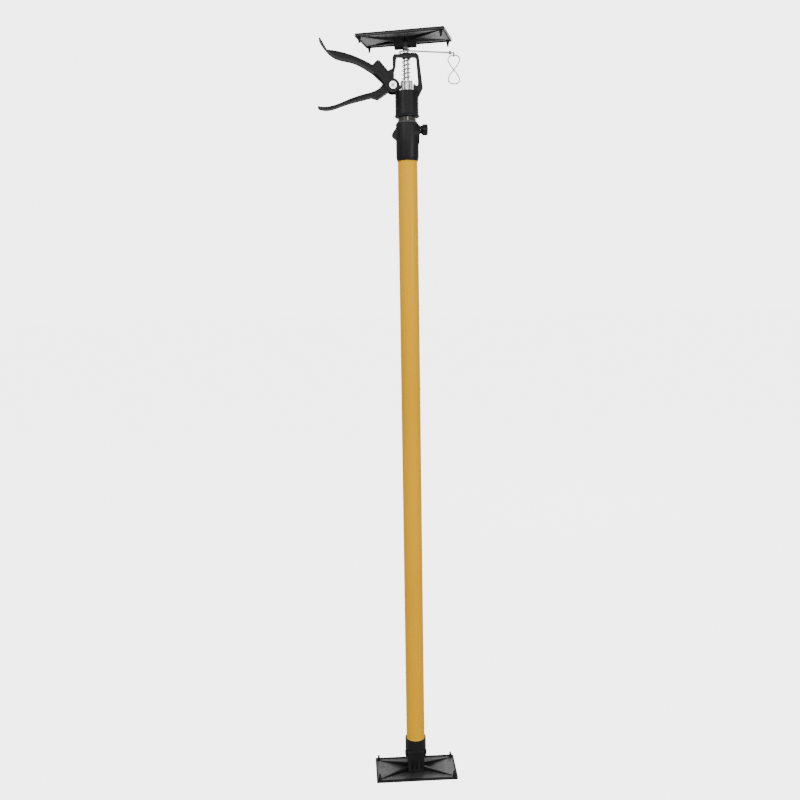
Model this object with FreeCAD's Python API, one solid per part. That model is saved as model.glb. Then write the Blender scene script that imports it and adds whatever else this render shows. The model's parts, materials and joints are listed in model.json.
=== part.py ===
import FreeCAD, Part
import math
import os

# A telescopic support prop: two round tubes that slide in one another and are held by a clamp
# screw, a squeeze-handle jack on top, and a swivelling rubber-faced plate at each end.
# Millimetres. +Z runs up the pole, X along the foot plate's long side, and both handles point
# to -X. The origin is the middle of the foot pad's underside.

V = FreeCAD.Vector
ORIGIN = V(0, 0, 0)
X_AXIS = V(1, 0, 0)
Y_AXIS = V(0, 1, 0)
Z_AXIS = V(0, 0, 1)

# Driving dimensions
PROP_HEIGHT = 1169.0
OUTER_TUBE_RADIUS = 15.0
OUTER_TUBE_WALL = 1.0
INNER_TUBE_RADIUS = 13.6
INNER_TUBE_WALL = 1.2
JACK_ROD_RADIUS = 4.0
FIT = 0.05
GAP = 0.3

# Swivel plates
PLATE_LENGTH = 133.0
PLATE_DEPTH = 68.0
PLATE_CORNER = 1.6
PAD_THICKNESS = 1.6
PLATE_THICKNESS = 1.2
PLATE_TOP = PAD_THICKNESS + PLATE_THICKNESS
RIM_HEIGHT = 1.7
RIM_WIDTH = 2.0
NIPPLE_INSET_X = 5.5
NIPPLE_INSET_Y = 5.5
NIPPLE_HEIGHT = 9.8
NIPPLE_BASE_RADIUS = 3.0
NIPPLE_TIP_RADIUS = 1.2
HUB_LENGTH = 27.0
HUB_RADIUS = 9.0
TOP_HUB_RADIUS = 8.0
PIVOT_PIN_RADIUS = 3.0

# Foot
FOOT_PIN_HEIGHT = 32.0
SOCKET_RADIUS = 17.2
SOCKET_TOP = 59.0
SOCKET_FLOOR = FOOT_PIN_HEIGHT + HUB_RADIUS + 1.0
TUBE_FOOT = SOCKET_FLOOR + 3.0
SOCKET_RIVET_HEIGHT = 52.0
EAR_RADIUS = 7.0

# Pole and clamp
OUTER_TUBE_TOP = 1026.0
COLLAR_BOTTOM = 988.0
COLLAR_TOP = 1043.0
COLLAR_RADIUS = 17.2
COLLAR_RIVET_HEIGHT = 1000.0
CLAMP_HEIGHT = 1034.0
BOSS_FACE = 19.4
RIVET_RADIUS = 2.0
RIVETS = [(SOCKET_RIVET_HEIGHT, SOCKET_RADIUS), (COLLAR_RIVET_HEIGHT, COLLAR_RADIUS)]
STUD_RADIUS = 3.0
BUSH_LIP_RADIUS = 15.4

# Jack head
SLEEVE_BOTTOM = 1052.0
SLEEVE_TOP = 1089.0
SLEEVE_RADIUS = 17.5
SLEEVE_SCREW_HEIGHT = SLEEVE_BOTTOM + 10.0
SCREW_RADIUS = 1.5
PLUG_BOTTOM = 1056.5
INNER_TUBE_TOP = 1076.0
INNER_TUBE_FOOT = TUBE_FOOT + 4.0
CROSSBAR_TOP = 1142.0
CROSSBAR_BOTTOM = CROSSBAR_TOP - 3.2
CROSSBAR_BOSS_TOP = CROSSBAR_TOP + 1.8
FRAME_HALF_DEPTH = 5.2
PIVOT_X = -21.0
PIVOT_Z = 1096.5
PIVOT_RADIUS = 3.0
RIVET_HEAD_RADIUS = 5.4
EYE_RADIUS = 9.8
LUG_OUTER = 8.0
LUG_INNER = 4.3
CHEEK_INNER = LUG_OUTER + GAP
CHEEK_OUTER = 11.0
RECESS_RIM = 2.2
RECESS_DEPTH = 0.9
ROD_BOTTOM = 996.0
ROD_TOP = 1149.0
COLLET_TOP = 1102.5
COLLET_RADIUS = 9.1
SPRING_RADIUS = 5.6
SPRING_WIRE = 0.8
SPRING_COILS = 5.0

# Top plate and hook
TOP_PIN_DROP = 11.0
TOP_YAW = -16.8
TOP_SHIFT = -3.2
TOP_HUB_LEFT = -17.0
TOP_HUB_RIGHT = 15.5
EYE_THICKNESS = 6.4
HOOK_WIRE = 1.0
HOOK_Y = -2.0
EYE_X = 71.0
EYE_Z = 1141.8
EYE_RING = 2.6
ARM_RING = 10.0
EIGHT_WIRE = 0.8
EIGHT_HALF_WIDTH = 8.6
EIGHT_HALF_HEIGHT = 20.5
EIGHT_TOP = 0.75
EIGHT_STEPS = 24
EIGHT_END_GAP = 0.02
ARM_HEIGHT = CROSSBAR_BOSS_TOP + 1.6


def cylinder(radius, low, high, x=0.0, y=0.0):
    return Part.makeCylinder(radius, high - low, V(x, y, low), Z_AXIS)


def pipe(outer, inner, low, high):
    return cylinder(outer, low, high).cut(cylinder(inner, low, high))


def bar_x(radius, low, high, y, z):
    return Part.makeCylinder(radius, high - low, V(low, y, z), X_AXIS)


def bar_y(radius, low, high, x, z):
    return Part.makeCylinder(radius, high - low, V(x, low, z), Y_AXIS)


def block(x_low, x_high, y_low, y_high, z_low, z_high):
    return Part.makeBox(x_high - x_low, y_high - y_low, z_high - z_low, V(x_low, y_low, z_low))


def polygon(points):
    return Part.makePolygon(points + [points[0]])


def turned(profile):
    """Solid of revolution about Z from (radius, z) points."""
    wire = polygon([V(radius, 0, z) for radius, z in profile])
    return Part.Face(wire).revolve(ORIGIN, Z_AXIS, 360)


def turned_x(profile, z):
    """Solid of revolution about the X direction at height z from (x, radius) points."""
    wire = polygon([V(x, 0, z + radius) for x, radius in profile])
    return Part.Face(wire).revolve(V(0, 0, z), X_AXIS, 360)


def across(wire, half_width):
    """Solid between -half_width and +half_width in Y from a closed wire in the XZ plane."""
    face = Part.Face(wire)
    face.translate(V(0, -half_width, 0))
    return face.extrude(V(0, 2 * half_width, 0))


def side_recesses(wire, half_width):
    """Shallow pockets for both side faces of a lever, a rim's width in from its outline."""
    inset = Part.Face(wire).makeOffset2D(-RECESS_RIM).OuterWire
    face = Part.Face(polygon(inset.discretize(QuasiDeflection=0.03)[:-1]))
    pockets = []
    for place in (-half_width - 1, half_width - RECESS_DEPTH):
        pocket = face.copy()
        pocket.translate(V(0, place, 0))
        pockets.append(pocket.extrude(V(0, 1 + RECESS_DEPTH, 0)))
    return pockets[0].fuse(pockets[1])


def outline(points):
    return polygon([V(x, 0, z) for x, z in points])


def curve(points):
    spline = Part.BSplineCurve()
    spline.interpolate(points)
    return spline.toShape()


def joined(shapes):
    body = shapes[0]
    for shape in shapes[1:]:
        body = body.fuse(shape)
    return body.removeSplitter()


def rounded_slab(length, depth, radius, low, high):
    slab = block(-length / 2, length / 2, -depth / 2, depth / 2, low, high)
    uprights = [edge for edge in slab.Edges if abs(edge.tangentAt(0).z) > 0.9]
    return slab.makeFillet(radius, uprights)


def nipple_places():
    x = PLATE_LENGTH / 2 - NIPPLE_INSET_X
    y = PLATE_DEPTH / 2 - NIPPLE_INSET_Y
    return [(side * x, end * y) for side in (-1, 1) for end in (-1, 1)]


def wire_along(edges, radius):
    path = Part.Wire(edges)
    start = edges[0].valueAt(edges[0].FirstParameter)
    heading = edges[0].tangentAt(edges[0].FirstParameter)
    section = Part.Wire(Part.makeCircle(radius, start, heading))
    return path.makePipeShell([section], True, True)


# Swivel plates, built pad down; the top one is turned over afterwards

def swivel_pad():
    pad = rounded_slab(PLATE_LENGTH, PLATE_DEPTH, PLATE_CORNER, 0, PAD_THICKNESS)
    nipple_top = PLATE_TOP + NIPPLE_HEIGHT
    neck = PLATE_TOP + 0.2
    parts = [pad]
    for x, y in nipple_places():
        stem = cylinder(NIPPLE_TIP_RADIUS + 0.8, PAD_THICKNESS, neck, x, y)
        cone = Part.makeCone(
            NIPPLE_BASE_RADIUS, NIPPLE_TIP_RADIUS, nipple_top - neck, V(x, y, neck), Z_AXIS
        )
        parts += [stem, cone]
    pad = joined(parts)
    reach = PLATE_DEPTH / 2 - 4
    for groove in range(-6, 6):
        x = (groove + 0.5) * 9.0
        pad = pad.cut(block(x - 1, x + 1, -reach, reach, -1, 0.6))
    return pad


def corner_rib(x_side, y_side, height):
    """Rib that narrows and falls from the hub to one corner of the plate."""
    end = V(x_side * (PLATE_LENGTH / 2 - 9), y_side * (PLATE_DEPTH / 2 - 8), 0)
    start = V(x_side * 8.0, y_side * 4.0, 0)
    along = (end - start).normalize()
    side = Z_AXIS.cross(along)
    sections = []
    for place, half_width, top in ((start, 2.6, height), (end, 0.8, PLATE_TOP + 0.8)):
        low = PLATE_TOP - 0.5
        corners = [
            place - side * half_width + Z_AXIS * low,
            place + side * half_width + Z_AXIS * low,
            place + side * half_width * 0.75 + Z_AXIS * top,
            place - side * half_width * 0.75 + Z_AXIS * top,
        ]
        sections.append(polygon(corners))
    return Part.makeLoft(sections, True, True)


def hub(x_low, x_high, pin_height, radius, foot_half_depth):
    """Upright block along X whose end is rounded about the pin."""
    low = PLATE_TOP - 0.5
    left_foot = V(x_low, -foot_half_depth, low)
    left_side = V(x_low, -radius, pin_height)
    crown = V(x_low, 0, pin_height + radius)
    right_side = V(x_low, radius, pin_height)
    right_foot = V(x_low, foot_half_depth, low)
    edges = [
        Part.makeLine(left_foot, left_side),
        Part.Arc(left_side, crown, right_side).toShape(),
        Part.makeLine(right_side, right_foot),
        Part.makeLine(right_foot, left_foot),
    ]
    return Part.Face(Part.Wire(edges)).extrude(V(x_high - x_low, 0, 0))


def swivel_plate(hub_parts, rib_height, pin_height):
    slab = rounded_slab(PLATE_LENGTH, PLATE_DEPTH, PLATE_CORNER, PAD_THICKNESS, PLATE_TOP)
    rim_low = PLATE_TOP - 0.5
    rim_high = PLATE_TOP + RIM_HEIGHT
    rim = rounded_slab(PLATE_LENGTH, PLATE_DEPTH, PLATE_CORNER, rim_low, rim_high)
    inner_length = PLATE_LENGTH - 2 * RIM_WIDTH
    inner_depth = PLATE_DEPTH - 2 * RIM_WIDTH
    rim = rim.cut(rounded_slab(inner_length, inner_depth, PLATE_CORNER / 2, rim_low, rim_high))
    ribs = [corner_rib(x, y, rib_height) for x in (-1, 1) for y in (-1, 1)]
    plate = joined([slab, rim] + ribs + hub_parts)
    for x, y in nipple_places():
        plate = plate.cut(cylinder(NIPPLE_TIP_RADIUS + 0.8, 0, PLATE_TOP + 1, x, y))
        plate = plate.cut(cylinder(NIPPLE_BASE_RADIUS + 0.1, PLATE_TOP, rim_high + 1, x, y))
    reach = HUB_LENGTH
    return plate.cut(bar_x(PIVOT_PIN_RADIUS, -reach, reach, 0, pin_height))


def make_foot_plate():
    half = HUB_LENGTH / 2
    body = hub(-half, half, FOOT_PIN_HEIGHT, HUB_RADIUS, 13.0)
    plate = swivel_plate([body], 11.0, FOOT_PIN_HEIGHT)
    for side in (-1, 1):
        for x in (-7.5, 0.0, 7.5):
            plate = plate.cut(block(x - 2.2, x + 2.2, side * 14 - 4, side * 14 + 4, 8.0, 26.0))
    return plate


def make_top_plate():
    middle = -TOP_SHIFT
    lobe = hub(TOP_HUB_LEFT + middle, middle, TOP_PIN_DROP, TOP_HUB_RADIUS, 10.0)
    heel = hub(middle, TOP_HUB_RIGHT + middle, TOP_PIN_DROP, TOP_HUB_RADIUS - 1.6, 9.0)
    plate = swivel_plate([lobe, heel], 9.0, TOP_PIN_DROP)
    slot = EYE_THICKNESS / 2 + GAP
    slot_low = TOP_PIN_DROP - 6.4
    plate = plate.cut(block(middle - slot, middle + slot, -20, 20, slot_low, 40))
    return on_top(plate)


def on_top(shape):
    turned_over = shape.copy()
    turned_over.rotate(ORIGIN, X_AXIS, 180)
    turned_over.translate(V(TOP_SHIFT, 0, PROP_HEIGHT))
    turned_over.rotate(ORIGIN, Z_AXIS, TOP_YAW)
    return turned_over


def headed_pin(half_length, height):
    shank = bar_x(PIVOT_PIN_RADIUS, -half_length, half_length, 0, height)
    head = bar_x(PIVOT_PIN_RADIUS + 0.9, half_length, half_length + 0.7, 0, height)
    far_head = bar_x(PIVOT_PIN_RADIUS + 0.9, -half_length - 0.7, -half_length, 0, height)
    return joined([shank, head, far_head])


# Foot and pole

def make_foot_socket():
    body = cylinder(SOCKET_RADIUS, FOOT_PIN_HEIGHT - EAR_RADIUS, SOCKET_TOP)
    body = body.cut(cylinder(OUTER_TUBE_RADIUS + FIT, TUBE_FOOT, SOCKET_TOP))
    inside = HUB_LENGTH / 2 + GAP
    fork_low = FOOT_PIN_HEIGHT - EAR_RADIUS - 1
    body = body.cut(block(-inside, inside, -20, 20, fork_low, SOCKET_FLOOR))
    ears = block(-20, 20, -20, 20, fork_low, SOCKET_FLOOR)
    kept = block(-20, 20, -EAR_RADIUS, EAR_RADIUS, FOOT_PIN_HEIGHT, SOCKET_FLOOR)
    kept = kept.fuse(bar_x(EAR_RADIUS, -20, 20, 0, FOOT_PIN_HEIGHT))
    body = body.cut(ears.cut(kept))
    body = body.cut(bar_x(PIVOT_PIN_RADIUS + FIT, -20, 20, 0, FOOT_PIN_HEIGHT))
    return body.cut(rivet_hole(SOCKET_RIVET_HEIGHT, SOCKET_RADIUS))


def rivet_hole(height, outside):
    hole = bar_y(RIVET_RADIUS + FIT, 13, outside + 5, 0, height)
    return hole.fuse(bar_y(2 * RIVET_RADIUS + FIT, outside - 0.1, outside + 5, 0, height))


def rivet(height, outside):
    inner = OUTER_TUBE_RADIUS - OUTER_TUBE_WALL
    shank = bar_y(RIVET_RADIUS, inner, outside + 0.2, 0, height)
    head = Part.makeSphere(4.4, V(0, outside - 2.4, height))
    head = head.common(bar_y(2 * RIVET_RADIUS, outside - 0.1, outside + 2.2, 0, height))
    flat = bar_y(2 * RIVET_RADIUS - 0.4, outside - 0.1, outside + 0.3, 0, height)
    return joined([shank, head, flat])


def make_outer_tube():
    inner = OUTER_TUBE_RADIUS - OUTER_TUBE_WALL
    tube = pipe(OUTER_TUBE_RADIUS, inner, TUBE_FOOT, OUTER_TUBE_TOP)
    for height, outside in RIVETS:
        tube = tube.cut(rivet_hole(height, outside))
    return tube


def round_boss(radius, x_low, x_high):
    """Round boss along X, a little below the screw, with a softened rim."""
    boss = bar_x(radius, x_low, x_high, 0, CLAMP_HEIGHT - 7.0)
    rim = [edge for edge in boss.Edges if edge.CenterOfMass.x > x_high - 0.01]
    return boss.makeFillet(1.6, rim)


def hexagon(across_flats, x_low, x_high):
    radius = across_flats / math.sqrt(3)
    angles = [math.radians(60 * step) for step in range(6)]
    points = [V(x_low, radius * math.cos(a), CLAMP_HEIGHT + radius * math.sin(a)) for a in angles]
    return Part.Face(polygon(points)).extrude(V(x_high - x_low, 0, 0))


def make_clamp_collar():
    collar = turned([
        (OUTER_TUBE_RADIUS + FIT, COLLAR_BOTTOM),
        (OUTER_TUBE_RADIUS + 0.8, COLLAR_BOTTOM),
        (COLLAR_RADIUS, COLLAR_BOTTOM + 6),
        (COLLAR_RADIUS, COLLAR_TOP - 1),
        (COLLAR_RADIUS - 0.8, COLLAR_TOP),
        (OUTER_TUBE_RADIUS + FIT, COLLAR_TOP),
    ])
    shelf = pipe(COLLAR_RADIUS - 1, INNER_TUBE_RADIUS + GAP, OUTER_TUBE_TOP, COLLAR_TOP - 6)
    wedge = outline([
        (-10, CLAMP_HEIGHT + 4), (-17, CLAMP_HEIGHT + 2.5), (-23, CLAMP_HEIGHT - 6),
        (-23, CLAMP_HEIGHT - 9), (-17, CLAMP_HEIGHT - 14.5), (-10, CLAMP_HEIGHT - 15),
    ])
    wedge = across(wedge, 8.0)
    boss = round_boss(15.4, 4.0, COLLAR_RADIUS + 0.5)
    seat = bar_x(7.0, 4.0, BOSS_FACE, 0, CLAMP_HEIGHT)
    solid = joined([collar, shelf, wedge, boss, seat])
    solid = solid.cut(cylinder(OUTER_TUBE_RADIUS + FIT, COLLAR_BOTTOM - 1, OUTER_TUBE_TOP))
    solid = solid.cut(cylinder(INNER_TUBE_RADIUS + GAP, OUTER_TUBE_TOP - 1, COLLAR_TOP + 9))
    solid = solid.cut(cylinder(OUTER_TUBE_RADIUS + FIT, COLLAR_TOP - 6, COLLAR_TOP + 9))
    solid = solid.cut(cylinder(BUSH_LIP_RADIUS + FIT, COLLAR_TOP, COLLAR_TOP + 9))
    solid = solid.cut(hexagon(10.0 + 2 * FIT, 12.0, 18.2 + FIT))
    solid = solid.cut(bar_x(STUD_RADIUS + 0.2, 12.0, 22.0, 0, CLAMP_HEIGHT))
    return solid.cut(rivet_hole(COLLAR_RIVET_HEIGHT, COLLAR_RADIUS))


def make_clamp_nut():
    nut = hexagon(10.0, 15.0, 18.2)
    return nut.cut(bar_x(STUD_RADIUS, 14.0, 19.0, 0, CLAMP_HEIGHT))


def make_clamp_stud():
    return bar_x(STUD_RADIUS - FIT, 15.2, 27.0, 0, CLAMP_HEIGHT)


def make_clamp_tip():
    return bar_x(2.4, INNER_TUBE_RADIUS + FIT, 15.2, 0, CLAMP_HEIGHT)


def make_clamp_knob():
    neck = BOSS_FACE + 0.6
    knob = turned_x([
        (neck, 0), (neck, 5.6), (neck + 2.2, 6.4), (neck + 3.4, 8.3),
        (neck + 9.8, 8.3), (neck + 10.8, 7.2), (neck + 10.8, 0),
    ], CLAMP_HEIGHT)
    for step in range(6):
        angle = math.radians(60 * step + 30)
        y = 11.2 * math.cos(angle)
        z = CLAMP_HEIGHT + 11.2 * math.sin(angle)
        knob = knob.cut(bar_x(4.2, neck + 2.6, neck + 12, y, z))
    return knob.cut(bar_x(STUD_RADIUS - FIT, neck - 1, 27.0, 0, CLAMP_HEIGHT))


def make_collar_bush():
    bore = INNER_TUBE_RADIUS + FIT
    return turned([
        (bore, COLLAR_TOP - 6), (OUTER_TUBE_RADIUS, COLLAR_TOP - 6), (OUTER_TUBE_RADIUS, COLLAR_TOP),
        (BUSH_LIP_RADIUS, COLLAR_TOP), (BUSH_LIP_RADIUS, COLLAR_TOP + 1.6),
        (BUSH_LIP_RADIUS - 0.6, COLLAR_TOP + 2.6), (bore, COLLAR_TOP + 2.6),
    ])


def make_lower_guide_bush():
    inner = INNER_TUBE_RADIUS - INNER_TUBE_WALL
    outer = OUTER_TUBE_RADIUS - OUTER_TUBE_WALL - FIT
    low = TUBE_FOOT + 0.4
    lip = INNER_TUBE_FOOT
    return turned([
        (inner - 3, low), (outer, low), (outer, lip - FIT), (inner - FIT, lip - FIT),
        (inner - FIT, lip + 14), (inner - 3, lip + 14),
    ])


def make_inner_tube():
    inner = INNER_TUBE_RADIUS - INNER_TUBE_WALL
    tube = pipe(INNER_TUBE_RADIUS, inner, INNER_TUBE_FOOT, INNER_TUBE_TOP)
    return tube.cut(sleeve_screw_hole())


# Jack head

def sleeve_screw_hole():
    return bar_y(SCREW_RADIUS + FIT, 8.0, 20.0, 0, SLEEVE_SCREW_HEIGHT)


def frame_outline():
    return outline([
        (-17.0, SLEEVE_TOP - 5), (-20.3, SLEEVE_TOP + 17), (-20.3, CROSSBAR_TOP - 3),
        (-18.0, CROSSBAR_TOP), (-7.0, CROSSBAR_TOP), (-6.0, CROSSBAR_BOSS_TOP),
        (14.5, CROSSBAR_BOSS_TOP), (18.4, CROSSBAR_TOP - 2), (21.4, SLEEVE_TOP + 27),
        (24.0, SLEEVE_TOP + 4.5), (17.3, SLEEVE_TOP - 9),
    ])


def window_outline():
    return outline([
        (-19.0, SLEEVE_TOP), (-18.6, SLEEVE_TOP + 28), (-16.2, SLEEVE_TOP + 35),
        (-15.0, CROSSBAR_BOTTOM - 2), (-13.5, CROSSBAR_BOTTOM), (13.4, CROSSBAR_BOTTOM),
        (15.0, CROSSBAR_BOTTOM - 2), (17.2, SLEEVE_TOP + 17), (17.2, SLEEVE_TOP + 10.5),
        (15.0, SLEEVE_TOP + 7.8), (12.4, SLEEVE_TOP + 9.6), (10.6, SLEEVE_TOP + 11.4),
        (10.0, SLEEVE_TOP + 10), (10.0, SLEEVE_TOP),
    ])


def lug_outline():
    return lever_outline([
        (0.7, 25.2), (-6.5, 21.6), (-12.5, 12), (-15.5, 2), (-9, -7),
        (3.5, -7), (4.5, -13), (11, -13), (10, -7), (2.4, 6),
    ])


def handle_wire():
    top = [(-15.5, 2), (-23, -5.4), (-40, -11.2), (-66, -19.4), (-97, -29.6), (-112, -28.6)]
    below = [(-112, -31), (-99, -33.4), (-72, -26), (-48, -19.6), (-32, -15.8)]
    place = [V(PIVOT_X + x, 0, PIVOT_Z + z) for x, z in top]
    under = [V(PIVOT_X + x, 0, PIVOT_Z + z) for x, z in below]
    stop = V(PIVOT_X - 22.5, 0, PIVOT_Z - 18.6)
    root_low = V(PIVOT_X - 5, 0, PIVOT_Z - 7)
    root_high = V(PIVOT_X - 5, 0, PIVOT_Z + 2)
    edges = [
        curve(place),
        Part.makeLine(place[-1], under[0]),
        curve(under),
        Part.makeLine(under[-1], stop),
        Part.makeLine(stop, root_low),
        Part.makeLine(root_low, root_high),
        Part.makeLine(root_high, place[0]),
    ]
    return Part.Wire(edges)


def make_jack_body():
    sleeve = turned([
        (0, SLEEVE_BOTTOM), (SLEEVE_RADIUS + 0.4, SLEEVE_BOTTOM),
        (SLEEVE_RADIUS + 1.0, SLEEVE_BOTTOM + 0.8), (SLEEVE_RADIUS + 1.0, SLEEVE_BOTTOM + 2.2),
        (SLEEVE_RADIUS, SLEEVE_BOTTOM + 4.0), (SLEEVE_RADIUS, SLEEVE_TOP), (0, SLEEVE_TOP),
    ])
    frame = across(frame_outline(), FRAME_HALF_DEPTH)
    lug = across(lug_outline(), LUG_OUTER)
    handle = across(handle_wire(), LUG_OUTER)
    handle = handle.cut(side_recesses(handle_wire(), LUG_OUTER))
    body = joined([sleeve, frame, lug, handle])
    window = across(window_outline(), 30.0)
    keep_lug = across(lug_outline(), LUG_OUTER)
    body = body.cut(window.cut(keep_lug))
    for side in (-1, 1):
        low = min(side * LUG_OUTER, side * 30)
        disc = bar_y(EYE_RADIUS + GAP, low, low + 30 - LUG_OUTER, PIVOT_X, PIVOT_Z)
        body = body.cut(disc)
    body = body.cut(block(-60, -9, -LUG_INNER, LUG_INNER, PIVOT_Z - 8, PIVOT_Z + 22))
    body = body.cut(cylinder(COLLET_RADIUS + 0.5, INNER_TUBE_TOP - 1, SLEEVE_TOP + 30))
    body = body.cut(cylinder(INNER_TUBE_RADIUS + FIT, SLEEVE_BOTTOM, INNER_TUBE_TOP))
    body = body.cut(cylinder(5.0, CROSSBAR_BOTTOM - 1, CROSSBAR_TOP + 9))
    body = body.cut(bar_y(PIVOT_RADIUS + FIT, -20, 20, PIVOT_X, PIVOT_Z))
    return body.cut(sleeve_screw_hole())


def trigger_cheek_wire():
    below = [(-15, 6), (-23, 14.4), (-39, 25.8), (-58, 35), (-87, 43), (-100, 54.6), (-108, 67)]
    above = [(-96, 50.4), (-67, 45), (-46.5, 37.4), (-30, 29)]
    low = [V(PIVOT_X + x, 0, PIVOT_Z + z) for x, z in below]
    high = [V(PIVOT_X + x, 0, PIVOT_Z + z) for x, z in above]
    tip = V(PIVOT_X - 106, 0, PIVOT_Z + 67.4)
    step = V(PIVOT_X - 99, 0, PIVOT_Z + 55.5)
    bump_left = V(PIVOT_X - 22.5, 0, PIVOT_Z + 36)
    bump_right = V(PIVOT_X - 19, 0, PIVOT_Z + 35)
    notch = V(PIVOT_X - 6.4, 0, PIVOT_Z + 20)
    shoulder = V(PIVOT_X - 1.0, 0, PIVOT_Z + 12)
    eye_top = V(PIVOT_X, 0, PIVOT_Z + EYE_RADIUS)
    eye_low = V(PIVOT_X - EYE_RADIUS * 0.8, 0, PIVOT_Z - EYE_RADIUS * 0.6)
    edges = [
        curve(low),
        Part.makeLine(low[-1], tip),
        Part.makeLine(tip, step),
        Part.makeLine(step, high[0]),
        curve(high),
        Part.makeLine(high[-1], bump_left),
        Part.makeLine(bump_left, bump_right),
        Part.makeLine(bump_right, notch),
        Part.makeLine(notch, shoulder),
        Part.makeLine(shoulder, eye_top),
        Part.Arc(eye_top, V(PIVOT_X + EYE_RADIUS, 0, PIVOT_Z), eye_low).toShape(),
        Part.makeLine(eye_low, low[0]),
    ]
    return Part.Wire(edges)


def lever_outline(points):
    return outline([(PIVOT_X + x, PIVOT_Z + z) for x, z in points])


def make_trigger_lever():
    lever = across(trigger_cheek_wire(), CHEEK_OUTER)
    lever = lever.cut(side_recesses(trigger_cheek_wire(), CHEEK_OUTER))
    eye = bar_y(EYE_RADIUS, -CHEEK_OUTER, CHEEK_OUTER, PIVOT_X, PIVOT_Z)
    lever = lever.fuse(eye)
    pocket = lever_outline([
        (-25, 17.6), (-39, 28.6), (-58, 37.8), (-87, 46), (-97, 54),
        (-97, 90), (40, 90), (40, -30), (-25, -30),
    ])
    lever = lever.cut(across(pocket, CHEEK_INNER))
    blade = lever_outline([
        (-28, 20), (-14, 17), (-3, 6), (12.4, 1), (13.4, -0.6), (12.6, -3), (0, -6),
        (-9, -1), (-28, 16.6),
    ])
    lever = joined([lever, across(blade, LUG_INNER - GAP)])
    return lever.cut(bar_y(PIVOT_RADIUS + FIT, -20, 20, PIVOT_X, PIVOT_Z))


def make_pivot_rivet():
    reach = CHEEK_OUTER + 0.2
    shank = bar_y(PIVOT_RADIUS, -reach, reach, PIVOT_X, PIVOT_Z)
    heads = [bar_y(RIVET_HEAD_RADIUS, reach, reach + 1.6, PIVOT_X, PIVOT_Z)]
    heads.append(bar_y(RIVET_HEAD_RADIUS, -reach - 1.6, -reach, PIVOT_X, PIVOT_Z))
    rivet_body = joined([shank] + heads)
    for side in (-1, 1):
        dimple = Part.makeSphere(2.6, V(PIVOT_X, side * (reach + 3.4), PIVOT_Z))
        rivet_body = rivet_body.cut(dimple)
    return rivet_body


def make_tube_plug():
    outer = INNER_TUBE_RADIUS - INNER_TUBE_WALL
    plug = turned([
        (JACK_ROD_RADIUS + GAP, PLUG_BOTTOM), (outer - FIT, PLUG_BOTTOM), (outer - FIT, INNER_TUBE_TOP),
        (8.0, INNER_TUBE_TOP), (6.2, PLUG_BOTTOM + 7), (JACK_ROD_RADIUS + GAP, PLUG_BOTTOM + 7),
    ])
    return plug.cut(sleeve_screw_hole())


def slotted_collet(profile, slots, slot, low, high):
    collet = turned(profile)
    for step in range(slots):
        cutter = block(2.0, 12.0, -slot / 2, slot / 2, low, high)
        cutter.rotate(ORIGIN, Z_AXIS, 360.0 * step / slots + 180.0 / slots)
        collet = collet.cut(cutter)
    return collet


def make_holding_collet():
    bore = JACK_ROD_RADIUS + FIT
    low = PLUG_BOTTOM + 7.6
    high = INNER_TUBE_TOP - 1.0
    profile = [(bore, low), (5.9, low), (7.4, high - 1), (7.4, high), (bore, high)]
    return slotted_collet(profile, 4, 1.4, low - 1, high - 2.5)


def make_drive_collet():
    bore = JACK_ROD_RADIUS + FIT
    profile = [
        (bore, COLLET_TOP - 24), (7.0, COLLET_TOP - 24), (COLLET_RADIUS, COLLET_TOP - 16.5),
        (COLLET_RADIUS, COLLET_TOP - 1.4),
        (COLLET_RADIUS - 1.4, COLLET_TOP), (bore, COLLET_TOP),
    ]
    collet = slotted_collet(profile, 8, 2.4, COLLET_TOP - 14, COLLET_TOP + 1)
    reach = LUG_INNER + 0.4
    return collet.cut(block(-12, -6.0, -reach, reach, PIVOT_Z - 10, PIVOT_Z + 1.4))


def make_spring_washer():
    return pipe(COLLET_RADIUS, JACK_ROD_RADIUS + 0.1, COLLET_TOP, COLLET_TOP + 1.4)


def make_return_spring():
    low = COLLET_TOP + 1.4 + SPRING_WIRE
    high = CROSSBAR_BOTTOM - 3.4 - SPRING_WIRE
    pitch = (high - low) / SPRING_COILS
    helix = Part.makeHelix(pitch, high - low, SPRING_RADIUS)
    section = Part.Wire(Part.makeCircle(SPRING_WIRE, V(SPRING_RADIUS, 0, 0), Y_AXIS))
    spring = Part.Wire(helix.Edges).makePipeShell([section], True, True)
    spring.translate(V(0, 0, low))
    return spring


def make_crossbar_bush():
    bore = JACK_ROD_RADIUS + FIT
    return turned([
        (bore, CROSSBAR_BOTTOM - 3.4), (5.0, CROSSBAR_BOTTOM - 3.4), (7.6, CROSSBAR_BOTTOM - 0.6),
        (7.6, CROSSBAR_BOTTOM), (5.0 - FIT, CROSSBAR_BOTTOM), (5.0 - FIT, CROSSBAR_BOSS_TOP),
        (bore, CROSSBAR_BOSS_TOP),
    ])


def make_jack_rod():
    return cylinder(JACK_ROD_RADIUS, ROD_BOTTOM, ROD_TOP)


def make_rod_stop():
    return pipe(8.0, JACK_ROD_RADIUS - 1.5, ROD_BOTTOM - 2.5, ROD_BOTTOM).fuse(
        cylinder(JACK_ROD_RADIUS - 1.5, ROD_BOTTOM - 4.5, ROD_BOTTOM)
    ).removeSplitter()


def make_sleeve_screw():
    height = SLEEVE_SCREW_HEIGHT
    shank = bar_y(SCREW_RADIUS, 11.0, SLEEVE_RADIUS + 0.4, 0, height)
    head = bar_y(2 * SCREW_RADIUS, SLEEVE_RADIUS, SLEEVE_RADIUS + 1.8, 0, height)
    slot = block(-4, 4, SLEEVE_RADIUS + 0.9, SLEEVE_RADIUS + 2, height - 0.4, height + 0.4)
    return joined([shank, head]).cut(slot)


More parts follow.
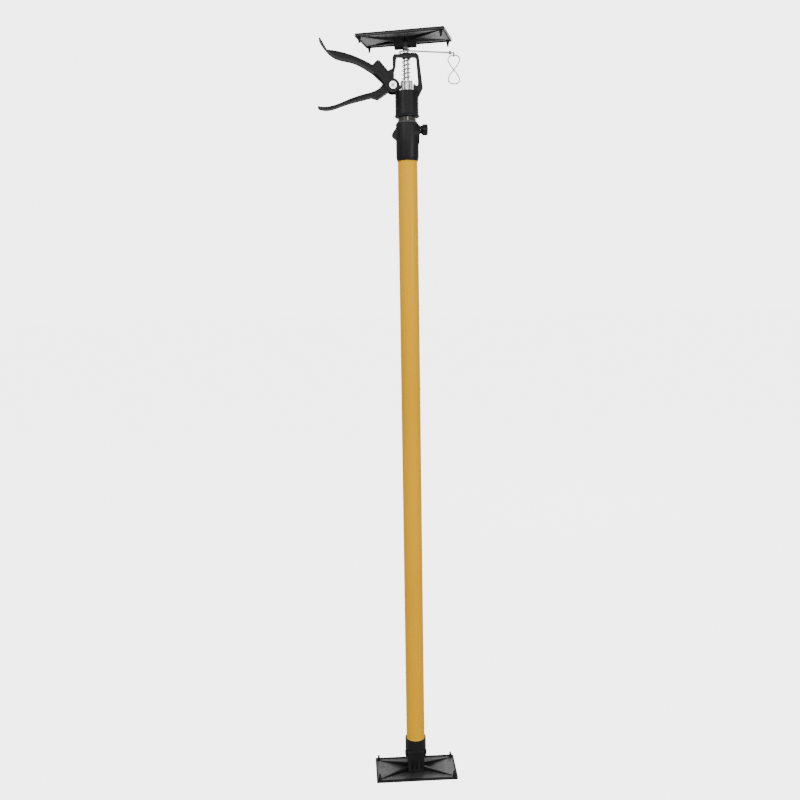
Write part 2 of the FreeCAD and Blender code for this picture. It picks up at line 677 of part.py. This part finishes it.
def make_rod_head():
    pin = PROP_HEIGHT - TOP_PIN_DROP
    half = EYE_THICKNESS / 2
    eye = bar_x(6.0, -half, half, 0, pin)
    stem = block(-half, half, -4.2, 4.2, ROD_TOP - 0.6, pin)
    head = joined([eye, stem, cylinder(5.2, ROD_TOP - 2.2, ROD_TOP + 0.5)])
    head = head.cut(cylinder(JACK_ROD_RADIUS + FIT, ROD_TOP - 9, ROD_TOP))
    head = head.cut(bar_x(PIVOT_PIN_RADIUS + FIT, -20, 20, 0, pin))
    head.rotate(ORIGIN, Z_AXIS, TOP_YAW)
    return head


def make_top_pivot_pin():
    pin = headed_pin((TOP_HUB_RIGHT - TOP_HUB_LEFT) / 2, PROP_HEIGHT - TOP_PIN_DROP)
    pin.translate(V((TOP_HUB_RIGHT + TOP_HUB_LEFT) / 2, 0, 0))
    pin.rotate(ORIGIN, Z_AXIS, TOP_YAW)
    return pin


# Wire arm and its figure-eight hook, bent from round wire

def make_wire_arm():
    """Loose ring round the rod, then an arm that droops to an eye at its end."""
    ring = ARM_RING
    diagonal = ring * math.sqrt(0.5)
    tail = V(ring, 1.0, ARM_HEIGHT)
    back = V(0, ring, ARM_HEIGHT)
    side = V(-ring, 0, ARM_HEIGHT)
    corner = V(-diagonal, -diagonal, ARM_HEIGHT)
    front = V(0, -ring, ARM_HEIGHT)
    knee = V(18.0, HOOK_Y - 4.5, ARM_HEIGHT)
    end = V(EYE_X + 0.3, HOOK_Y, EYE_Z + EYE_RING)
    edges = [
        Part.Arc(tail, back, side).toShape(),
        Part.Arc(side, corner, front).toShape(),
        Part.makeLine(front, knee),
        Part.makeLine(knee, end),
    ]
    parts = [wire_along(edges, HOOK_WIRE)]
    parts.append(Part.makeTorus(EYE_RING, HOOK_WIRE - 0.1, V(EYE_X, HOOK_Y, EYE_Z), X_AXIS))
    for x in (EYE_X - 6.6, EYE_X - 5.0):
        centre = V(x, HOOK_Y, EYE_Z + EYE_RING + 0.2)
        parts.append(Part.makeTorus(1.6, HOOK_WIRE, centre, X_AXIS))
    return joined(parts)


def make_figure_eight_hook():
    """Wire bent to an eight; the strands pass side by side and the ends butt at the top."""
    points = []
    for step in range(EIGHT_STEPS + 1):
        turn = EIGHT_END_GAP + (2 * math.pi - 2 * EIGHT_END_GAP) * step / EIGHT_STEPS
        y = HOOK_Y - 1.2 * math.sin(turn)
        x = EYE_X + EIGHT_HALF_WIDTH * math.sin(2 * turn)
        z = EYE_Z - EIGHT_TOP - EIGHT_HALF_HEIGHT * (1 - math.cos(turn))
        points.append(V(x, y, z))
    return wire_along([curve(points)], EIGHT_WIRE)


MAKERS = {
    "foot_pad": swivel_pad,
    "foot_plate": make_foot_plate,
    "foot_pivot_pin": lambda: headed_pin(SOCKET_RADIUS, FOOT_PIN_HEIGHT),
    "foot_socket": make_foot_socket,
    "socket_rivet": lambda: rivet(SOCKET_RIVET_HEIGHT, SOCKET_RADIUS),
    "outer_tube": make_outer_tube,
    "clamp_collar": make_clamp_collar,
    "collar_rivet": lambda: rivet(COLLAR_RIVET_HEIGHT, COLLAR_RADIUS),
    "clamp_nut": make_clamp_nut,
    "clamp_stud": make_clamp_stud,
    "clamp_tip": make_clamp_tip,
    "clamp_knob": make_clamp_knob,
    "collar_bush": make_collar_bush,
    "lower_guide_bush": make_lower_guide_bush,
    "inner_tube": make_inner_tube,
    "jack_body": make_jack_body,
    "sleeve_screw": make_sleeve_screw,
    "trigger_lever": make_trigger_lever,
    "pivot_rivet": make_pivot_rivet,
    "tube_plug": make_tube_plug,
    "holding_collet": make_holding_collet,
    "drive_collet": make_drive_collet,
    "spring_washer": make_spring_washer,
    "return_spring": make_return_spring,
    "crossbar_bush": make_crossbar_bush,
    "jack_rod": make_jack_rod,
    "rod_stop": make_rod_stop,
    "rod_head": make_rod_head,
    "top_pivot_pin": make_top_pivot_pin,
    "top_plate": make_top_plate,
    "top_pad": lambda: on_top(swivel_pad()),
    "wire_arm": make_wire_arm,
    "figure_eight_hook": make_figure_eight_hook,
}

os.makedirs("parts", exist_ok=True)
for node, maker in MAKERS.items():
    shape = maker()
    if not shape.isValid() or shape.Volume <= 0:
        raise ValueError(node + " is not a valid solid")
    shape.exportStep("parts/" + node + ".step")
    print(node, len(shape.Solids), "solids", round(shape.Volume), "mm3")
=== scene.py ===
import json
import math

import bmesh
import bpy
from bpy.props import FloatProperty, FloatVectorProperty, PointerProperty
from mathutils import Matrix, Vector


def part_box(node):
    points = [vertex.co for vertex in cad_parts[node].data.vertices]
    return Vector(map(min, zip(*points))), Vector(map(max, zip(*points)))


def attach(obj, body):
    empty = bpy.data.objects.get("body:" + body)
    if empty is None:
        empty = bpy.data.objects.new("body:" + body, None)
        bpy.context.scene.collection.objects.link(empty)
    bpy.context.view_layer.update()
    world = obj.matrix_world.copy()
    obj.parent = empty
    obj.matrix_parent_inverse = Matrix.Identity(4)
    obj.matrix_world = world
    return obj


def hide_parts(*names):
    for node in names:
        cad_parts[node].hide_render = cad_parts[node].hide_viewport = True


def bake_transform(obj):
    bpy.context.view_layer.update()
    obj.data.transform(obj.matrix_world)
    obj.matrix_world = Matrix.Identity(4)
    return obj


bl_info = {
    "name": "Telescopic support prop",
    "version": (1, 0, 0),
    "blender": (4, 5, 0),
    "location": "3D View > Sidebar > Prop",
    "description": "Finishes a telescopic support prop around its packed frame",
    "category": "Object",
}

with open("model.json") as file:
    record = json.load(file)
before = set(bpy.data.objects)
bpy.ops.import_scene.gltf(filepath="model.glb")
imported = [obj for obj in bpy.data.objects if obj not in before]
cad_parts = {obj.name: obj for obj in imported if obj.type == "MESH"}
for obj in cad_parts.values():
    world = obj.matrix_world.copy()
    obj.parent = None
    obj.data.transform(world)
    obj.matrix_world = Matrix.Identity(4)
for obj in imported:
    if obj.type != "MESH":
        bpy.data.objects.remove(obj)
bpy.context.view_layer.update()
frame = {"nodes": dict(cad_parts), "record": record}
NODES = frame["nodes"]

# Which body each node belongs to
BODY_OF = {
    node: body
    for body, members in frame["record"]["behaviour"]["bodies"].items()
    for node in members
}

# Lengths are in metres unless a line says otherwise.

# Brightness of the backdrop as it is seen, and of the light that it gives
BACKDROP_GLOW = 4.6
STUDIO_GLOW = 0.55

# The floor's glow is less than the backdrop's by what its lit paint adds
FLOOR_PAINT_GLOW = 0.35

# Colour of the floor's glow for its light, and as it is seen, and of its paint
FLOOR_UNSEEN = (0.06, 0.06, 0.06)
FLOOR_SEEN = (1.0, 1.0, 1.0)
FLOOR_PAINT = ((0.4, 0.4, 0.4), (0.42, 0.42, 0.42))

# Area lights: place, what they face, width and watts
LIGHTS = {
    "key": ((-1.6, -1.8, 2.2), (0.0, 0.0, 0.8), 1.2, 36.0),
    "strip": ((1.3, -1.5, 1.0), (0.0, 0.0, 0.7), 0.35, 16.0),
    "front": ((0.15, -2.7, 1.6), (0.0, 0.0, 1.05), 0.7, 14.0),
    "back": ((0.9, 2.2, 1.5), (0.0, 0.0, 0.7), 1.2, 26.0),
}

# Camera: width of its sensor in millimetres, and how near it begins to see
SENSOR_WIDTH = 36.0
CLIP_START = 0.05

# Thickness of the plates' flat ground, and how far from it the painted sheen fades out
PLATE_GROUND = 0.0012
SHEEN_FADE = (0.00002, 0.00008)

# Distances from the hub between which the painted sheen gets paler
SHEEN_SPREAD = (0.014, 0.054)

# Colours of the painted sheen on the flat ground of the foot plate and of the top plate: a
# painted reflection of the bright surroundings
FOOT_PAINTED_SHEEN = (0.15, 0.15, 0.155)
TOP_PAINTED_SHEEN = (0.6, 0.6, 0.61)

# Top of the foot socket, and the pale ring of painted highlight just above it on the pole
SOCKET_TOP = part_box("foot_socket")[1].z
PAINTED_HIGHLIGHT_FADE = (0.0008, 0.0024)
PAINTED_HIGHLIGHT_ENAMEL = (1.0, 0.74, 0.1)

# Height up to which the rod is oiled, and the oil's edge and colour
OILED_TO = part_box("drive_collet")[1].z
OIL_EDGE = 0.0015
OIL = (0.012, 0.011, 0.01)

# Colours of the small pieces that have no setting of their own
BUSH_PLASTIC = (0.05, 0.05, 0.05)
PIN_ENAMEL = (0.02, 0.02, 0.02)

# Stretch of noise that is the same all round, and of noise drawn out along Z
EVEN = (1, 1, 1)
UPRIGHT = (1, 1, 0.03)

# Rounds on the edges of tubes, turned pieces, small soft pieces and the rod
TUBE_ROUND = 0.0002
METAL_ROUND = 0.00025
SMALL_ROUND = 0.0003
ROD_ROUND = 0.0004

# The plates' thin ribs have this share of the mouldings' edge round
THIN_SHARE = 0.6

# Points closer than this are one, and faces flatter than this are one face
SAME_POINT = 1e-6
SAME_FACE = math.radians(0.6)

# Edges sharper than these stay sharp in shading, and get a round
SHARP_EDGE = math.radians(32.0)
ROUNDED_EDGE = math.radians(28.0)

# Pieces of steel that are plated and keep their own shape
PLATED = (
    "socket_rivet", "collar_rivet", "clamp_nut", "clamp_stud", "clamp_tip",
    "sleeve_screw", "tube_plug", "holding_collet", "rod_stop",
)

# Shader maths


class Value:
    """A shader socket that can be used in sums."""

    def __init__(self, finish, socket):
        self.finish = finish
        self.socket = socket

    def _maths(self, operation, first, second):
        return self.finish.node(
            "ShaderNodeMath", {"operation": operation}, {0: first, 1: second}
        )

    def __add__(self, other):
        return self._maths("ADD", self, other)

    def __radd__(self, other):
        return self._maths("ADD", other, self)

    def __sub__(self, other):
        return self._maths("SUBTRACT", self, other)

    def __rsub__(self, other):
        return self._maths("SUBTRACT", other, self)

    def __mul__(self, other):
        return self._maths("MULTIPLY", self, other)

    def __pow__(self, other):
        return self._maths("POWER", self, other)

    def band(self, low, high):
        """0 below low, 1 above high and a smooth rise between them."""
        return self.finish.node(
            "ShaderNodeMapRange",
            {"interpolation_type": "SMOOTHSTEP"},
            {"Value": self, "From Min": low, "From Max": high},
        )


class Finish:
    """One procedural material, made node by node."""

    def __init__(self, name, roughness, metallic=0.0, coat=0.0, specular=0.5):
        self.material = bpy.data.materials.new(name)
        self.material.use_nodes = True
        self.tree = self.material.node_tree
        self.tree.nodes.clear()
        end = self.tree.nodes.new("ShaderNodeOutputMaterial")
        self.surface = self.tree.nodes.new("ShaderNodeBsdfPrincipled")
        self.tree.links.new(self.surface.outputs[0], end.inputs["Surface"])
        self.feed("Roughness", roughness)
        self.feed("Metallic", metallic)
        self.feed("Coat Weight", coat)
        self.feed("Coat Roughness", 0.12)
        self.feed("Specular IOR Level", specular)
        self.place = self.node("ShaderNodeTexCoord", output="Object")

    def _put(self, socket, value):
        """Links a value to a socket, or sets a plain number on it."""
        if isinstance(value, Value):
            self.tree.links.new(value.socket, socket)
        else:
            socket.default_value = value

    def node(self, kind, settings=None, inputs=None, output=0):
        """Adds a node and gives one of its outputs."""
        made = self.tree.nodes.new(kind)
        for name, value in (settings or {}).items():
            setattr(made, name, value)
        for name, value in (inputs or {}).items():
            self._put(made.inputs[name], value)
        return Value(self, made.outputs[output])

    def feed(self, socket, value):
        """Puts a value into a socket of the surface."""
        self._put(self.surface.inputs[socket], value)

    def noise(self, scale, detail=3.0, stretch=(1, 1, 1), roughness=0.55):
        """Noise with scale features a metre, drawn out by stretch."""
        place = self.node(
            "ShaderNodeMapping", {}, {"Vector": self.place, "Scale": stretch}
        )
        return self.node(
            "ShaderNodeTexNoise",
            {},
            {"Vector": place, "Scale": scale, "Detail": detail, "Roughness": roughness},
        )

    def colour(self, factor, low, high):
        """Colour that goes from low to high as factor goes from 0 to 1."""
        made = self.tree.nodes.new("ShaderNodeMix")
        made.data_type = "RGBA"
        self._put(made.inputs[0], factor)
        self._put(made.inputs[6], low if isinstance(low, Value) else (*low, 1.0))
        self._put(made.inputs[7], high if isinstance(high, Value) else (*high, 1.0))
        return Value(self, made.outputs[2])

    def along(self, axis):
        """Place along X, Y or Z (0, 1 or 2) on the piece."""
        return self.node(
            "ShaderNodeSeparateXYZ", {}, {"Vector": self.place}, output=axis
        )

    def bump(self, height, strength, distance):
        """Roughens the surface by a height."""
        normal = self.node(
            "ShaderNodeBump",
            {},
            {"Height": height, "Strength": strength, "Distance": distance},
        )
        self.feed("Normal", normal)


def shade(colour, factor):
    """Colour made darker or lighter by a factor."""
    return tuple(min(1.0, channel * factor) for channel in colour)


def enamel(name, colour, roughness, coat, specular=0.3, highlight_at=None):
    """Baked enamel on drawn tube: slight orange peel, faint draw lines and rubbed spots.

    The last argument is the height of a socket's mouth, just above which the enamel gets a
    pale ring of painted highlight.
    """
    finish = Finish(name, roughness, coat=coat, specular=specular)
    cloud = finish.noise(9.0, 4.0, (1, 1, 0.25))
    rub = finish.noise(160.0, 5.0, (1, 1, 0.18), 0.7).band(0.64, 0.78)
    base = finish.colour(cloud.band(0.3, 0.7), shade(colour, 0.93), shade(colour, 1.05))
    skin = finish.colour(rub * 0.35, base, shade(colour, 0.72))
    # Painted highlight: a pale ring just above the socket's mouth
    if highlight_at:
        ring = 1 - (finish.along(2) - highlight_at).band(*PAINTED_HIGHLIGHT_FADE)
        skin = finish.colour(ring * 0.7, skin, PAINTED_HIGHLIGHT_ENAMEL)
    finish.feed("Base Color", skin)
    finish.feed("Roughness", roughness + rub * 0.22 + cloud * 0.05)
    peel = finish.noise(520.0, 2.0)
    lines = finish.noise(900.0, 2.0, (1, 1, 0.01))
    finish.bump(peel + lines * 0.5, 0.12, 0.0003)
    return finish.material


def moulded(name, colour, roughness, scuff, specular=0.2, field=None):
    """Moulded plastic: fine spark-eroded grain, flow marks and a few pale scuffs.

    field is (height, side, sheen): the flat ground of a plate at that height gets a painted
    sheen of that colour, a painted reflection that gets paler away from the hub. side is 1 for
    ground that faces up and -1 for ground that faces down.
    """
    finish = Finish(name, roughness, specular=specular)
    flow = finish.noise(38.0, 4.0)
    grain = finish.noise(2200.0, 2.0)
    marks = finish.noise(240.0, 6.0, (1, 0.4, 0.4), 0.75).band(0.66, 0.8)
    base = finish.colour(flow.band(0.3, 0.72), shade(colour, 0.55), shade(colour, 1.6))
    skin = finish.colour(marks * scuff, base, shade(colour, 3.5))
    # Painted sheen: the plate's flat ground is made paler, a painted reflection of the bright
    # surroundings
    if field:
        height, side, sheen = field
        rise = (finish.along(2) - height) * side
        near, far = SHEEN_FADE
        ground = rise.band(-far, -near) * (1 - rise.band(near, far))
        x, y = finish.along(0), finish.along(1)
        outward = ((x * x + y * y) ** 0.5).band(*SHEEN_SPREAD)
        cloud = finish.noise(170.0, 6.0, EVEN, 0.7).band(0.3, 0.7)
        amount = ground * (0.2 + outward * 0.8) * (0.45 + cloud * 0.55)
        skin = finish.colour(amount, skin, sheen)
    finish.feed("Base Color", skin)
    finish.feed("Roughness", roughness + flow * 0.16 - marks * 0.1)
    finish.bump(grain + flow * 2.0, 0.22, 0.0002)
    return finish.material


def bright_metal(
    name, colour, roughness, line_strength=0.1, stretch=EVEN, metallic=1.0, oiled=None
):
    """Plated steel with fine machining lines and a slight haze.

    oiled is a height: the metal below it is stained dark by oil.
    """
    finish = Finish(name, roughness, metallic=metallic)
    haze = finish.noise(70.0, 4.0)
    lines = finish.noise(2600.0, 2.0, stretch)
    spots = finish.noise(420.0, 4.0).band(0.66, 0.76)
    base = finish.colour(haze, shade(colour, 0.86), shade(colour, 1.08))
    skin = finish.colour(spots * 0.4, base, shade(colour, 0.55))
    if oiled:
        stain = 1 - (finish.along(2) - oiled).band(-OIL_EDGE, OIL_EDGE)
        skin = finish.colour(stain * 0.95, skin, OIL)
    finish.feed("Base Color", skin)
    finish.feed("Roughness", roughness + haze * 0.14 + spots * 0.15)
    finish.bump(lines, line_strength, 0.0002)
    return finish.material


def rubber(name, colour):
    """Soft rubber: matt, with a mould bloom and tiny pits."""
    finish = Finish(name, 0.8, specular=0.3)
    bloom = finish.noise(60.0, 5.0)
    pits = finish.noise(1500.0, 3.0)
    paled = finish.colour(bloom.band(0.35, 0.75), colour, shade(colour, 2.2))
    finish.feed("Base Color", paled)
    finish.feed("Roughness", 0.68 + bloom * 0.24)
    finish.bump(pits, 0.35, 0.0003)
    return finish.material


# Shapes


def finished(mesh, name, material):
    """Object at the origin with its mesh in place."""
    for polygon in mesh.polygons:
        polygon.use_smooth = True
    mesh.set_sharp_from_angle(angle=SHARP_EDGE)
    mesh.materials.clear()
    mesh.materials.append(material)
    piece = bpy.data.objects.new(name, mesh)
    bpy.context.scene.collection.objects.link(piece)
    return piece


def softened(node, width, material, segments=2):
    """Copy of a node whose sharp edges get a small moulded round."""
    mesh = NODES[node].data.copy()
    shape = bmesh.new()
    shape.from_mesh(mesh)
    bmesh.ops.remove_doubles(shape, verts=shape.verts, dist=SAME_POINT)
    bmesh.ops.dissolve_limit(
        shape, angle_limit=SAME_FACE, verts=shape.verts, edges=shape.edges
    )
    shape.to_mesh(mesh)
    shape.free()
    piece = finished(mesh, node + "_skin", material)
    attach(piece, BODY_OF[node])
    rounds = piece.modifiers.new("rounds", "BEVEL")
    rounds.width = width
    rounds.segments = segments
    rounds.limit_method = "ANGLE"
    rounds.angle_limit = ROUNDED_EDGE
    rounds.harden_normals = True
    rounds.miter_outer = "MITER_ARC"
    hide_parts(node)


def compressed(node, material):
    """Copy of an upright spring, with its placement baked into its mesh."""
    piece = finished(NODES[node].data.copy(), node + "_coil", material)
    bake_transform(piece)
    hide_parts(node)


def dress(node, material):
    """Gives a node that stays its material."""
    target = NODES[node]
    target.data.materials.clear()
    target.data.materials.append(material)
    for slot in target.material_slots:
        slot.material = material


# Settings


def colour_setting(name, description, default):
    """A colour in the panel."""
    return FloatVectorProperty(
        name=name, description=description, subtype="COLOR", size=3, default=default
    )


def roughness_setting(name, description, default):
    """A roughness in the panel."""
    return FloatProperty(
        name=name, description=description, subtype="FACTOR", min=0.0, max=1.0, default=default
    )


class PropPoleSettings(bpy.types.PropertyGroup):
    enamel: colour_setting(
        "Pole enamel", "Colour of the outer pole", (0.81, 0.40, 0.0)
    )
    inner_enamel: colour_setting(
        "Inner tube enamel", "Colour of the inner tube", (0.028, 0.027, 0.016)
    )
    gloss: roughness_setting("Enamel roughness", "Roughness of the enamel", 0.3)


class PropPlasticSettings(bpy.types.PropertyGroup):
    plastic: colour_setting(
        "Plastic", "Colour of the moulded pieces", (0.006, 0.006, 0.0068)
    )
    knob: colour_setting(
        "Knob", "Colour of the clamp knob", (0.006, 0.006, 0.0065)
    )
    pad: colour_setting(
        "Pad", "Colour of the rubber pads", (0.006, 0.006, 0.006)
    )
    roughness: roughness_setting("Plastic roughness", "Roughness of the moulded pieces", 0.36)
    edge_round: FloatProperty(
        name="Edge round",
        description="Radius on the edges of the moulded pieces",
        default=0.0006,
        min=0.0,
        unit="LENGTH",
    )


class PropMetalSettings(bpy.types.PropertyGroup):
    zinc: colour_setting(
        "Zinc", "Colour of the plated steel", (0.80, 0.81, 0.83)
    )
    satin: colour_setting(
        "Satin zinc", "Colour of the drive collet", (0.93, 0.93, 0.94)
    )
    chrome: colour_setting(
        "Chrome", "Colour of the jack rod", (0.88, 0.89, 0.91)
    )
    wire: colour_setting(
        "Wire", "Colour of the spring and the hook wire", (0.42, 0.42, 0.43)
    )


class PropStageSettings(bpy.types.PropertyGroup):
    camera_place: FloatVectorProperty(
        name="Camera place",
        description="Where the camera stands",
        subtype="XYZ",
        unit="LENGTH",
        size=3,
        default=(-0.0956, -1.321, 0.8065),
    )
    camera_turn: FloatVectorProperty(
        name="Camera turn",
        description="Pitch down, roll and yaw of the camera",
        subtype="EULER",
        unit="ROTATION",
        size=3,
        default=(math.radians(7.852), math.radians(0.89), math.radians(-3.396)),
    )
    lens: FloatProperty(
        name="Lens",
        description="Focal length in millimetres on a 36 mm sensor",
        default=38.295,
    )
    floor_size: FloatProperty(
        name="Floor size",
        description="Width of the floor",
        default=40.0,
        unit="LENGTH",
    )


def settings():
    """The prop's settings in this scene."""
    return bpy.context.scene.telescopic_prop


class PropSettings(bpy.types.PropertyGroup):
    pole: PointerProperty(type=PropPoleSettings)
    plastic: PointerProperty(type=PropPlasticSettings)
    metal: PointerProperty(type=PropMetalSettings)
    stage: PointerProperty(type=PropStageSettings)


# Operators


class PROP_OT_poles(bpy.types.Operator):
    """Enamels the outer and inner tubes and dresses what slides inside them"""

    bl_idname = "prop.poles"
    bl_label = "Poles"

    def execute(self, context):
        pole = settings().pole
        # The pole's enamel gets a pale ring of painted highlight just above the foot socket
        yellow = enamel(
            "pole_enamel", pole.enamel, pole.gloss, coat=0.03, specular=0.06, highlight_at=SOCKET_TOP
        )
        olive = enamel("inner_tube_enamel", pole.inner_enamel, roughness=0.16, coat=0.6)
        softened("outer_tube", TUBE_ROUND, yellow)
        softened("inner_tube", TUBE_ROUND, olive)
        bush = moulded("bush_plastic", BUSH_PLASTIC, roughness=0.45, scuff=0.2)
        for node in ("collar_bush", "crossbar_bush"):
            softened(node, SMALL_ROUND, bush)
        dress("lower_guide_bush", bush)
        return {"FINISHED"}


class PROP_OT_mouldings(bpy.types.Operator):
    """Makes the moulded black pieces with rounded edges"""

    bl_idname = "prop.mouldings"
    bl_label = "Mouldings"

    def execute(self, context):
        plastic = settings().plastic
        nylon = {"colour": plastic.plastic, "roughness": plastic.roughness, "scuff": 0.25}
        black = moulded("black_nylon", **nylon)
        for node in ("foot_socket", "clamp_collar", "jack_body", "trigger_lever"):
            softened(node, plastic.edge_round, black, segments=3)
        foot_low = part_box("foot_plate")[0].z
        top_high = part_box("top_plate")[1].z
        # The plates' flat ground gets a painted sheen, a painted reflection of the bright
        # surroundings
        grounds = {
            "foot_plate": (foot_low + PLATE_GROUND, 1.0, FOOT_PAINTED_SHEEN),
            "top_plate": (top_high - PLATE_GROUND, -1.0, TOP_PAINTED_SHEEN),
        }
        for node, ground in grounds.items():
            paled = moulded(node + "_nylon", **nylon, field=ground)
            softened(node, plastic.edge_round * THIN_SHARE, paled)
        knob = moulded("knob_plastic", plastic.knob, roughness=0.3, scuff=0.3)
        softened("clamp_knob", plastic.edge_round, knob, segments=3)
        return {"FINISHED"}


class PROP_OT_pads(bpy.types.Operator):
    """Makes the rubber pads of the foot and the top"""

    bl_idname = "prop.pads"
    bl_label = "Pads"

    def execute(self, context):
        black = rubber("pad_rubber", settings().plastic.pad)
        for node in ("foot_pad", "top_pad"):
            softened(node, SMALL_ROUND, black)
        return {"FINISHED"}


class PROP_OT_metalwork(bpy.types.Operator):
    """Plates the rod, collets, spring, pins, rivets and screws"""

    bl_idname = "prop.metalwork"
    bl_label = "Metalwork"

    def execute(self, context):
        metal = settings().metal
        zinc = bright_metal("bright_zinc", metal.zinc, roughness=0.22)
        satin = bright_metal("satin_zinc", metal.satin, roughness=0.35, metallic=0.35)
        chrome = bright_metal(
            "chrome", metal.chrome, roughness=0.08, line_strength=0.05, stretch=UPRIGHT,
            oiled=OILED_TO,
        )
        wire = bright_metal("spring_wire", metal.wire, roughness=0.25)
        for node in ("pivot_rivet", "spring_washer"):
            softened(node, METAL_ROUND, zinc)
        softened("drive_collet", METAL_ROUND, satin)
        for node in PLATED:
            dress(node, zinc)
        softened("jack_rod", ROD_ROUND, chrome)
        compressed("return_spring", wire)
        for node in ("wire_arm", "figure_eight_hook"):
            dress(node, wire)
        pin = enamel("pin_enamel", PIN_ENAMEL, roughness=0.35, coat=0.2)
        for node in ("foot_pivot_pin", "top_pivot_pin"):
            dress(node, pin)
        softened("rod_head", SMALL_ROUND, pin)
        return {"FINISHED"}


class PROP_OT_stage(bpy.types.Operator):
    """Makes the pale floor, the soft lights and the camera"""

    bl_idname = "prop.stage"
    bl_label = "Stage"

    def execute(self, context):
        stage = settings().stage
        scene = context.scene
        self.make_floor(scene, stage.floor_size)
        self.make_studio(scene)
        for name, (place, target, size, power) in LIGHTS.items():
            self.area_light(scene, name, place, target, size, power)
        self.make_camera(scene, stage)
        return {"FINISHED"}

    def make_floor(self, scene, width):
        """Pale floor that glows like the backdrop when it is looked at."""
        floor = bpy.data.meshes.new("floor")
        shape = bmesh.new()
        bmesh.ops.create_grid(shape, x_segments=1, y_segments=1, size=width / 2)
        shape.to_mesh(floor)
        shape.free()
        paint = Finish("pale_floor", 0.9, specular=0.0)
        cloud = paint.noise(0.8, 3.0)
        paint.feed("Base Color", paint.colour(cloud, *FLOOR_PAINT))
        seen = paint.node("ShaderNodeLightPath")
        paint.feed("Emission Color", paint.colour(seen, FLOOR_UNSEEN, FLOOR_SEEN))
        paint.feed("Emission Strength", BACKDROP_GLOW - FLOOR_PAINT_GLOW)
        floor.materials.append(paint.material)
        ground = bpy.data.objects.new("floor", floor)
        scene.collection.objects.link(ground)

    def make_studio(self, scene):
        """Surroundings that look bright and give a softer light."""
        world = bpy.data.worlds.new("studio")
        scene.world = world
        world.use_nodes = True
        tree = world.node_tree
        glow = tree.nodes["Background"]
        glow.inputs["Color"].default_value = (1, 1, 1, 1)
        seen = tree.nodes.new("ShaderNodeLightPath")
        level = tree.nodes.new("ShaderNodeMapRange")
        level.inputs["To Min"].default_value = STUDIO_GLOW
        level.inputs["To Max"].default_value = BACKDROP_GLOW
        tree.links.new(seen.outputs["Is Camera Ray"], level.inputs["Value"])
        tree.links.new(level.outputs["Result"], glow.inputs["Strength"])

    def make_camera(self, scene, stage):
        """Camera that stands and looks as the settings say."""
        camera = bpy.data.cameras.new("camera")
        camera.lens = stage.lens
        camera.sensor_width = SENSOR_WIDTH
        camera.clip_start = CLIP_START
        viewer = bpy.data.objects.new("camera", camera)
        scene.collection.objects.link(viewer)
        pitch, roll, yaw = stage.camera_turn
        viewer.matrix_world = (
            Matrix.Translation(stage.camera_place)
            @ Matrix.Rotation(yaw, 4, "Z")
            @ Matrix.Rotation(-pitch, 4, "X")
            @ Matrix.Rotation(roll, 4, "Y")
            @ Matrix.Rotation(math.radians(90), 4, "X")
        )
        scene.camera = viewer

    def area_light(self, scene, name, place, target, size, power):
        """Square soft light at a place, facing a target."""
        lamp = bpy.data.lights.new(name, "AREA")
        lamp.size = size
        lamp.energy = power
        light = bpy.data.objects.new(name, lamp)
        light.location = place
        heading = Vector(target) - Vector(place)
        light.rotation_euler = heading.to_track_quat("-Z", "Y").to_euler()
        scene.collection.objects.link(light)


class PROP_PT_panel(bpy.types.Panel):
    """Lists the prop's pieces and settings"""

    bl_label = "Support prop"
    bl_idname = "PROP_PT_panel"
    bl_space_type = "VIEW_3D"
    bl_region_type = "UI"
    bl_category = "Prop"

    def draw(self, context):
        for operator in OPERATORS:
            self.layout.operator(operator.bl_idname)
        prop = settings()
        for group in (prop.pole, prop.plastic, prop.metal, prop.stage):
            box = self.layout.box()
            for name in group.bl_rna.properties.keys():
                if name not in ("rna_type", "name"):
                    box.prop(group, name)


OPERATORS = (
    PROP_OT_poles, PROP_OT_mouldings, PROP_OT_pads, PROP_OT_metalwork, PROP_OT_stage,
)
GROUPS = (
    PropPoleSettings, PropPlasticSettings, PropMetalSettings, PropStageSettings, PropSettings,
)
CLASSES = GROUPS + OPERATORS + (PROP_PT_panel,)


def register():
    for item in CLASSES:
        bpy.utils.register_class(item)
    bpy.types.Scene.telescopic_prop = PointerProperty(type=PropSettings)


def unregister():
    del bpy.types.Scene.telescopic_prop
    for item in reversed(CLASSES):
        bpy.utils.unregister_class(item)


def main():
    register()
    bpy.ops.prop.poles()
    bpy.ops.prop.mouldings()
    bpy.ops.prop.pads()
    bpy.ops.prop.metalwork()
    bpy.ops.prop.stage()


if __name__ == "__main__":
    main()
